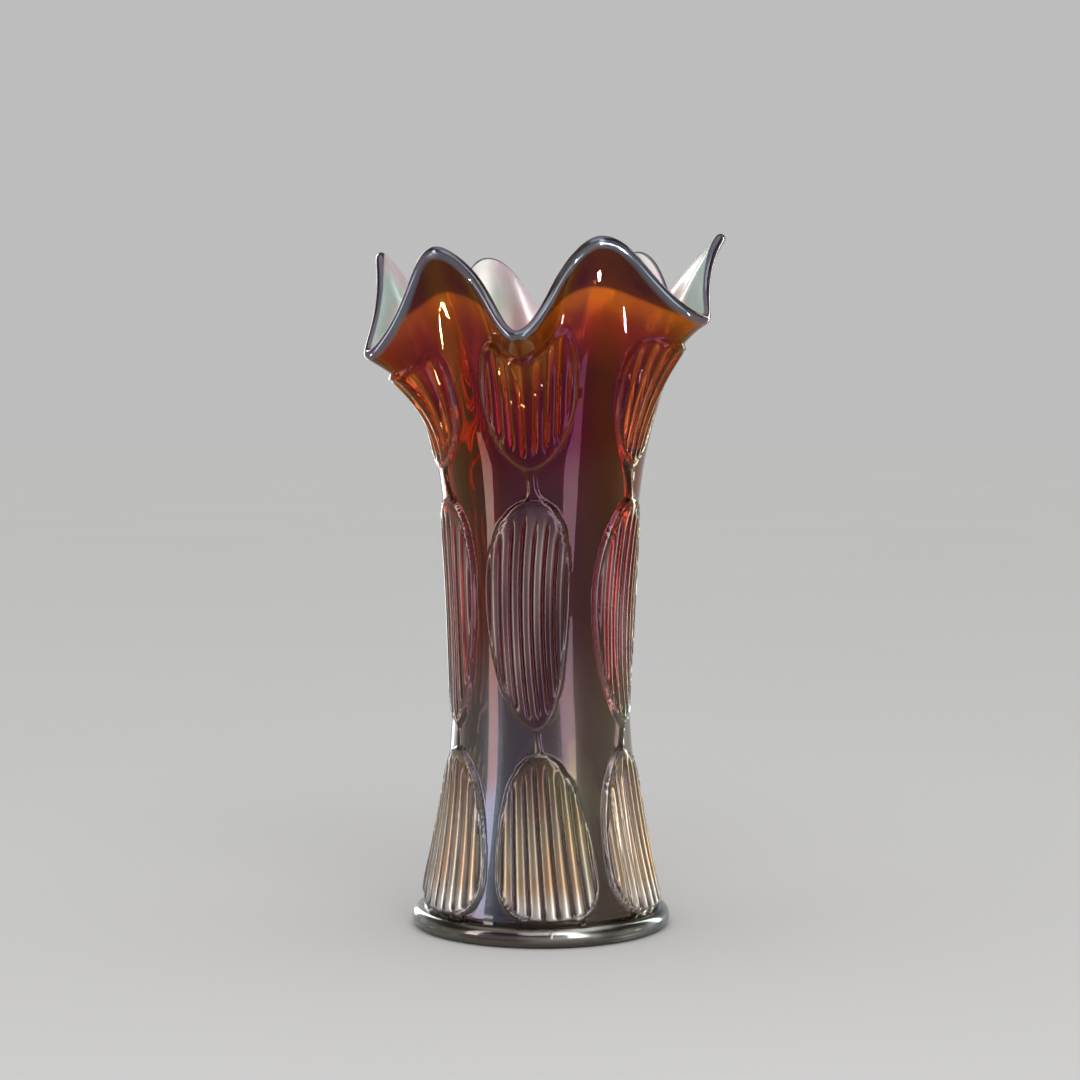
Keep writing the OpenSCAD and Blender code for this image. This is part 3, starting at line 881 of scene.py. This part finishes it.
# %% Mist on the ribs
# Painted glow: towards the foot the mist on the lower ribs turns whiter and thicker, standing in for light
# pooled in the thick glass.
painted_foot_glow = where.between(0.10, 0.02)
streaks = glaze.spot(120, (1, 1, 0.1), 2, shift=(0.4, 0.6, 0.3)).between(0.35, 0.65)
tan = glaze.mix(streaks, (0.92, 0.56, 0.29, 1), (0.78, 0.68, 0.48, 1))
low_mist_and_glow = glaze.mix(painted_foot_glow, tan, (0.97, 0.92, 0.84, 1))
mist = glaze.mix(where.between(0.35, 0.5), low_mist_and_glow, (0.68, 0.55, 0.53, 1))
silver = glaze.satin(mist, 0.34, path=446, film_ior=1.45)
# Random patches of mist on the middle ribs, heavier on the left as a painted sheen on that side.
mist_and_left_sheen = (glaze.spot(45, (1, 1, 0.3), 2, shift=(0.9, 0.3, 0.6)) - side * 6).between(0.35, 0.6)
# The lower ribs' mist thickens towards the foot, part of the same painted glow.
low_share = (0.04 + where.between(0.36, 0.10) * 0.40 + painted_foot_glow * 0.25) * where.between(0.45, 0.38)
middle_share = where.between(0.40, 0.48) * where.between(1.0, 0.8) * mist_and_left_sheen * (0.06 + streaks * 0.22)
outside = glaze.blend(crowns * (low_share + middle_share), outside, silver)
to_right = (side + (drift - 0.5) * 0.1).between(-0.02, 0.02)
dusk = glaze.mix(to_right, (0.40, 0.45, 0.55, 1), (0.58, 0.50, 0.40, 1))
veil = glaze.satin(dusk, 0.3, path=600, film_ior=1.4)
outside = glaze.blend((1 - raised_wire) * where.between(0.72, 0.4) * 0.09, outside, veil)
# Silver mist on the raised rims, also a painted highlight line round each oval.
rim_mist_and_highlight = glaze.satin((0.66, 0.66, 0.68, 1), 0.15, path=446, film_ior=1.45)
rim_highlight_part = rim_wire * where.between(1.6, 1.3) * (0.06 + mottle.between(0.4, 0.6) * 0.22)
outside = glaze.blend(rim_highlight_part, outside, rim_mist_and_highlight)
bright_lip = glaze.satin((0.66, 0.72, 0.78, 1), 0.12, path=600, film_ior=1.45)
outside = glaze.blend(lip_wire, outside, blue)
outside = glaze.blend(lip_wire * 0.12, outside, bright_lip)
print("Wall glass, outside:", len(glaze.tree.nodes), "nodes")

# %% [markdown]
# ## The pearly lining
# The mist also fell inside the flare, thicker than outside, and thickest near the lip: white like pearl
# with faint pink and green bands. It is partly a metal with the same kind of film and partly chalky, and
# it is mixed with the glass so that some light still comes through.

# %% Lining
bands = glaze.spot(48, (1, 1, 0.6), 3, shift=(0.2, 0.9, 0.4))
pearly = glaze.mix(bands.between(0.40, 0.52), (0.99, 0.80, 0.84, 1), (0.99, 0.96, 0.90, 1))
pearly = glaze.mix(bands.between(0.53, 0.62), pearly, (0.78, 0.94, 0.86, 1))
pearl = glaze.satin(pearly, 0.32, path=690, film_ior=1.6, metal=0.6)
lining_share = lining_wire * (0.03 + where.between(1.4, 1.75) * 0.6 + where.between(1.75, 1.95) * 0.2)
wall.data.materials.append(glaze.finish(glaze.blend(lining_share, outside, pearl)))
print("Wall glass:", len(glaze.tree.nodes), "nodes")

# %% [markdown]
# ## Glass of the foot
# The foot is thick, so it looks nearly black, with a smoky edge where light gets through, a little wear
# from standing on shelves, and silver mist in patches on the upper side of its ring, which is also a
# painted sheen where the top of the ring catches the light.

# %% Foot glass
glaze = Glaze("smoky_foot_glass")
wear = glaze.spot(90, (1, 1, 2), 4)
smoke_foot = glaze.mix(wear.between(0.4, 0.65), (0.12, 0.105, 0.10, 1), (0.075, 0.07, 0.07, 1))
scuffs = glaze.add("ShaderNodeBump", {}, {"Strength": 0.12, "Distance": 0.0006, "Height": wear}).outputs[0]
plain = glaze.glass(smoke_foot, 0.03 + wear * 0.1, scuffs, path=510, film_ior=1.6)
tinted = glaze.glass(smoke_foot, 0.03 + wear * 0.1, scuffs, path=446, film_ior=1.7)
ring = glaze.blend(glaze.spot(25, (1, 1, 1), 2).between(0.5, 0.62), plain, tinted)
patches = glaze.spot(34, (1, 1, 2), 3, shift=(0.2, 0.7, 0.1)).between(0.42, 0.6)
# Silver mist on the top of the ring, also a painted sheen where the top catches the light.
top_mist_and_sheen = glaze.axis("Z").between(0.0015, 0.0055) * (0.08 + patches * 0.5)
ring_top_sheen = glaze.satin((0.80, 0.80, 0.76, 1), 0.18, path=446, film_ior=1.45)
foot.data.materials.append(glaze.finish(glaze.blend(top_mist_and_sheen, ring, ring_top_sheen)))
print("Foot glass:", len(glaze.tree.nodes), "nodes")

# %% [markdown]
# ## Floor
# A plain pale floor runs to the horizon and takes the vase's shadow.

# %% Floor
bm = bmesh.new()
bmesh.ops.create_grid(bm, x_segments=8, y_segments=8, size=8)
floor_mesh = bpy.data.meshes.new("floor")
bm.to_mesh(floor_mesh)
bm.free()
floor = bpy.data.objects.new("floor", floor_mesh)
bpy.context.scene.collection.objects.link(floor)
glaze = Glaze("pale_floor")
plaster = glaze.spot(3, (1, 1, 1), 3)
paint = glaze.mix(plaster, (0.68, 0.675, 0.67, 1), (0.71, 0.705, 0.70, 1))
matt = glaze.add("ShaderNodeBsdfDiffuse", {}, {"Color": paint})
floor.data.materials.append(glaze.finish(matt.outputs[0]))
print("Floor:", len(floor_mesh.polygons), "faces")

# %% [markdown]
# ## The light of the room
# The camera, mirrors and glass see a backdrop that is as grey as the far floor, so the horizon fades. It
# darkens higher up, which gives the glass something dark to mirror, and ends in a pale ceiling, which
# the lining of the flare picks up. What lights the floor is an even soft light.

# %% World
backdrop_low, backdrop_high, ceiling_light, soft_light = 0.51, 0.1, 0.8, 0.74
world = bpy.data.worlds.new("studio")
bpy.context.scene.world = world
studio = Network(world)
rays = studio.add("ShaderNodeLightPath", {}, {})
by_camera, by_mirror, by_glass = (Wire(studio, rays.outputs[f"Is {kind} Ray"])
                                  for kind in ("Camera", "Glossy", "Transmission"))
way = studio.add("ShaderNodeTexCoord", {}, {}).outputs["Generated"]
up = Wire(studio, studio.add("ShaderNodeSeparateXYZ", {}, {0: way}).outputs["Z"])
sky = backdrop_low - up.between(0.15, 0.5) * (backdrop_low - backdrop_high)
sky = sky + up.between(0.7, 0.9) * ceiling_light
seen = studio.add("ShaderNodeBackground", {}, {"Color": sky, "Strength": 1.0})
felt = studio.add("ShaderNodeBackground", {}, {"Color": (1, 1, 1, 1), "Strength": soft_light})
either = studio.add("ShaderNodeMixShader", {}, {0: by_camera.larger(by_mirror).larger(by_glass),
                                                1: felt.outputs[0], 2: seen.outputs[0]})
studio.add("ShaderNodeOutputWorld", {}, {"Surface": either.outputs[0]})
print("World:", len(studio.tree.nodes), "nodes")

# %% [markdown]
# ## Lamps
# Tall windows draw the long upright highlights that show the vase's form, and small lamps near the floor
# draw the glints on the petals. Both light the glass alone, so that the floor stays plain. One broad lamp
# from the upper front lights everything and casts the soft shadow.

# %% Lamps


def soft_lamp(name, spot, aim, width, height, watts, spread=180, only=None):
    """A rectangular lamp at spot, turned to aim; a grid on it keeps its light within spread."""
    data = bpy.data.lights.new(name, "AREA")
    data.shape, data.size, data.size_y = "RECTANGLE", width, height
    data.energy, data.spread = watts, math.radians(spread)
    lamp = bpy.data.objects.new(name, data)
    bpy.context.scene.collection.objects.link(lamp)
    lamp.visible_camera = False
    lamp.light_linking.receiver_collection = only
    lamp.location = spot
    lamp.rotation_euler = (Vector(aim) - Vector(spot)).to_track_quat("-Z", "Y").to_euler()


glassware = bpy.data.collections.new("glassware")
for piece in (wall, foot):
    glassware.objects.link(piece)
window_far, petal_r, petal_z, glint_z = 450, 60, 250, 35
windows = (("left_window", -61, 0.10, 0.30), ("right_window", 32, 0.14, 0.26),
           ("back_right_window", 122, 0.07, 0.3), ("back_left_window", -150, 0.10, 0.26))
for name, azimuth, width, watts in windows:
    spot = place(azimuth, window_far, petal_z) * MM
    soft_lamp(name, spot, (0, 0, 0.2), width, 0.5, watts, spread=110, only=glassware)
glints = (("left_glint", -82, 345, -38), ("right_glint", 43, 300, 20), ("back_glint", 160, 330, 172))
for name, azimuth, reach, tip_turn in glints:
    spot, aim = place(azimuth, reach, glint_z) * MM, place(tip_turn, petal_r, petal_z) * MM
    soft_lamp(name, spot, aim, 0.016, 0.016, 0.009, spread=18, only=glassware)
soft_lamp("front_top", (0.1, -0.75, 0.9), (0, 0, 0.2), 0.9, 0.6, 2.8)
bpy.context.scene.view_settings.view_transform = "Standard"

# %% [markdown]
